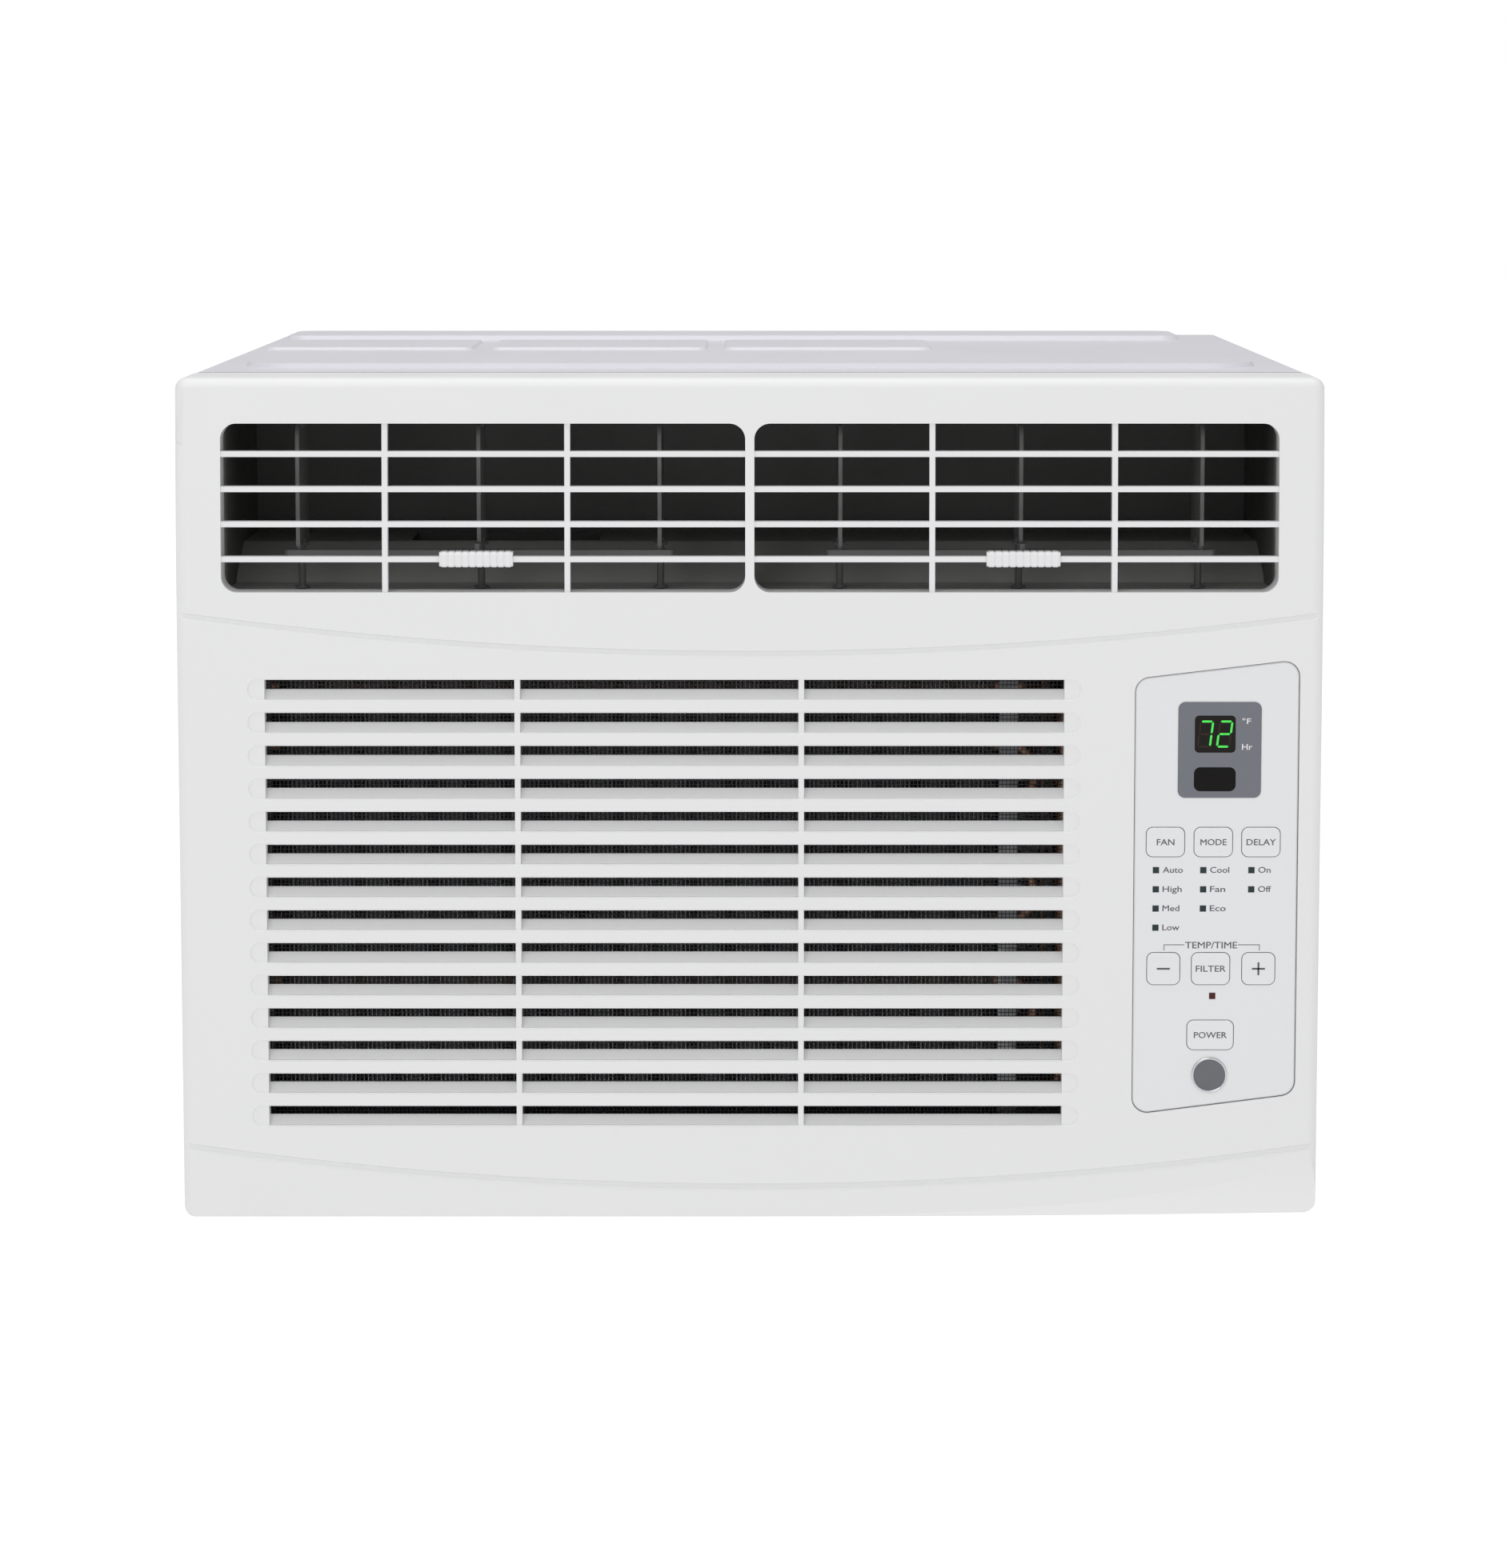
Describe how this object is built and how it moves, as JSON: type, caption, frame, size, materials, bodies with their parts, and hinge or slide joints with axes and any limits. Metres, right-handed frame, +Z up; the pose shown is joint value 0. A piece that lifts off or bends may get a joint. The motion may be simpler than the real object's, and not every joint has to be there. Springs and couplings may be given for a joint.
{
  "type": "window air conditioner",
  "caption": "Boxy window air conditioner: moulded front with louvred intake, barred outlets with turning vanes, key panel, sheet-metal case and full indoor and outdoor works.",
  "frame": {"origin": "centre of the bounding box, on the surface it stands on", "axes": "+X to the right seen from the room, +Y out of the window towards the outdoors, +Z up"},
  "size_m": [0.47, 0.395, 0.3526],
  "materials": {
    "panel_white": "satin",
    "lattice_white": "satin",
    "case_paint": "satin",
    "control_grey": "satin",
    "key_white": "satin",
    "bezel_grey": "satin",
    "display_black": "gloss",
    "infrared_dark": "gloss",
    "light_lens": "gloss",
    "badge_silver": "satin",
    "vane_grey": "satin",
    "duct_black": "matte",
    "foam_white": "matte",
    "filter_grey": "matte",
    "filter_net": "matte",
    "fin_aluminium": "satin",
    "tube_copper": "satin",
    "galvanised": "satin",
    "board_green": "satin",
    "shell_black": "satin",
    "motor_grey": "satin",
    "shaft_steel": "polished",
    "rubber_black": "matte",
    "screw_steel": "polished",
    "can_silver": "satin"
  },
  "bodies": {
    "cabinet": {"base_pan": "galvanised", "case": "case_paint", "front_panel": "panel_white", "intake_grille": "panel_white", "discharge_grille": "lattice_white", "control_panel": "control_grey", "display_bezel": "bezel_grey", "digit_display": "display_black", "infrared_window": "infrared_dark", "indicator_lights": "light_lens", "badge": "badge_silver", "key_switches": "rubber_black", "control_board": "board_green", "control_box": "galvanised", "run_capacitor": "can_silver", "air_outlet_duct": "duct_black", "discharge_plenum": "duct_black", "evaporator_fins": "fin_aluminium", "evaporator_end_plates": "galvanised", "evaporator_tubes": "tube_copper", "condenser_fins": "fin_aluminium", "condenser_end_plates": "galvanised", "condenser_tubes": "tube_copper", "inlet_orifice": "duct_black", "scroll_housing": "foam_white", "bulkhead": "galvanised", "fan_motor": "motor_grey", "motor_bracket": "galvanised", "condenser_shroud": "duct_black", "compressor": "shell_black", "compressor_grommets": "rubber_black", "compressor_nuts": "screw_steel", "accumulator": "shell_black", "refrigerant_lines": "tube_copper", "capillary_tube": "tube_copper", "filter_drier": "tube_copper", "case_screws": "screw_steel", "cord_bushing": "rubber_black"},
    "rotor": {"motor_shaft": "shaft_steel", "blower_wheel": "duct_black", "condenser_fan": "duct_black"},
    "air_filter": {"filter_frame": "filter_grey", "filter_mesh": "filter_net"},
    "vane_left_inner": {"vane_left_inner": "vane_grey"},
    "vane_left_middle": {"vane_left_middle": "vane_grey"},
    "vane_left_outer": {"vane_left_outer": "vane_grey"},
    "vane_link_left": {"vane_link_left": "duct_black"},
    "vane_knob_left": {"vane_knob_left": "lattice_white"},
    "vane_right_inner": {"vane_right_inner": "vane_grey"},
    "vane_right_middle": {"vane_right_middle": "vane_grey"},
    "vane_right_outer": {"vane_right_outer": "vane_grey"},
    "vane_link_right": {"vane_link_right": "duct_black"},
    "vane_knob_right": {"vane_knob_right": "lattice_white"},
    "fan_key": {"fan_key": "key_white"},
    "mode_key": {"mode_key": "key_white"},
    "delay_key": {"delay_key": "key_white"},
    "minus_key": {"minus_key": "key_white"},
    "filter_key": {"filter_key": "key_white"},
    "plus_key": {"plus_key": "key_white"},
    "power_key": {"power_key": "key_white"}
  },
  "joints": [
    {"name": "fan_spin", "type": "hinge", "parent": "cabinet", "child": "rotor", "pos_m": [-0.045, 0, 0.148], "axis": [0, 1, 0], "continuous": true},
    {"name": "filter_slide", "type": "slide", "parent": "cabinet", "child": "air_filter", "axis": [-1, 0, 0], "range_m": [0, 0.36]},
    {"name": "vane_left_inner_turn", "type": "hinge", "parent": "cabinet", "child": "vane_left_inner", "pos_m": [-0.0373, -0.162, 0.2965], "axis": [0, 0, 1], "range_deg": [-35, 35]},
    {"name": "vane_left_middle_turn", "type": "hinge", "parent": "cabinet", "child": "vane_left_middle", "pos_m": [-0.1119, -0.162, 0.2965], "axis": [0, 0, 1], "range_deg": [-35, 35]},
    {"name": "vane_left_outer_turn", "type": "hinge", "parent": "cabinet", "child": "vane_left_outer", "pos_m": [-0.1866, -0.162, 0.2965], "axis": [0, 0, 1], "range_deg": [-35, 35]},
    {"name": "vane_link_left_turn", "type": "hinge", "parent": "vane_left_middle", "child": "vane_link_left", "pos_m": [-0.1119, -0.1735, 0.2764], "axis": [0, 0, 1], "range_deg": [-35, 35]},
    {"name": "vane_knob_left_slide", "type": "slide", "parent": "cabinet", "child": "vane_knob_left", "axis": [1, 0, 0], "range_m": [-0.0146, 0.0146]},
    {"name": "vane_right_inner_turn", "type": "hinge", "parent": "cabinet", "child": "vane_right_inner", "pos_m": [0.0373, -0.162, 0.2965], "axis": [0, 0, 1], "range_deg": [-35, 35]},
    {"name": "vane_right_middle_turn", "type": "hinge", "parent": "cabinet", "child": "vane_right_middle", "pos_m": [0.1119, -0.162, 0.2965], "axis": [0, 0, 1], "range_deg": [-35, 35]},
    {"name": "vane_right_outer_turn", "type": "hinge", "parent": "cabinet", "child": "vane_right_outer", "pos_m": [0.1866, -0.162, 0.2965], "axis": [0, 0, 1], "range_deg": [-35, 35]},
    {"name": "vane_link_right_turn", "type": "hinge", "parent": "vane_right_middle", "child": "vane_link_right", "pos_m": [0.1119, -0.1735, 0.2764], "axis": [0, 0, 1], "range_deg": [-35, 35]},
    {"name": "vane_knob_right_slide", "type": "slide", "parent": "cabinet", "child": "vane_knob_right", "axis": [1, 0, 0], "range_m": [-0.0146, 0.0146]},
    {"name": "fan_key_press", "type": "slide", "parent": "cabinet", "child": "fan_key", "axis": [0, 1, 0], "range_m": [0, 0.0006], "stiffness_N_per_m": 400},
    {"name": "mode_key_press", "type": "slide", "parent": "cabinet", "child": "mode_key", "axis": [0, 1, 0], "range_m": [0, 0.0006], "stiffness_N_per_m": 400},
    {"name": "delay_key_press", "type": "slide", "parent": "cabinet", "child": "delay_key", "axis": [0, 1, 0], "range_m": [0, 0.0006], "stiffness_N_per_m": 400},
    {"name": "minus_key_press", "type": "slide", "parent": "cabinet", "child": "minus_key", "axis": [0, 1, 0], "range_m": [0, 0.0006], "stiffness_N_per_m": 400},
    {"name": "filter_key_press", "type": "slide", "parent": "cabinet", "child": "filter_key", "axis": [0, 1, 0], "range_m": [0, 0.0006], "stiffness_N_per_m": 400},
    {"name": "plus_key_press", "type": "slide", "parent": "cabinet", "child": "plus_key", "axis": [0, 1, 0], "range_m": [0, 0.0006], "stiffness_N_per_m": 400},
    {"name": "power_key_press", "type": "slide", "parent": "cabinet", "child": "power_key", "axis": [0, 1, 0], "range_m": [0, 0.0006], "stiffness_N_per_m": 400}
  ],
  "couplings": [
    {"joint": "vane_left_inner_turn", "follows": "vane_knob_left_slide", "rad_per_m": 41.84},
    {"joint": "vane_left_middle_turn", "follows": "vane_knob_left_slide", "rad_per_m": 41.84},
    {"joint": "vane_left_outer_turn", "follows": "vane_knob_left_slide", "rad_per_m": 41.84},
    {"joint": "vane_link_left_turn", "follows": "vane_knob_left_slide", "rad_per_m": -41.84},
    {"joint": "vane_right_inner_turn", "follows": "vane_knob_right_slide", "rad_per_m": 41.84},
    {"joint": "vane_right_middle_turn", "follows": "vane_knob_right_slide", "rad_per_m": 41.84},
    {"joint": "vane_right_outer_turn", "follows": "vane_knob_right_slide", "rad_per_m": 41.84},
    {"joint": "vane_link_right_turn", "follows": "vane_knob_right_slide", "rad_per_m": -41.84}
  ]
}
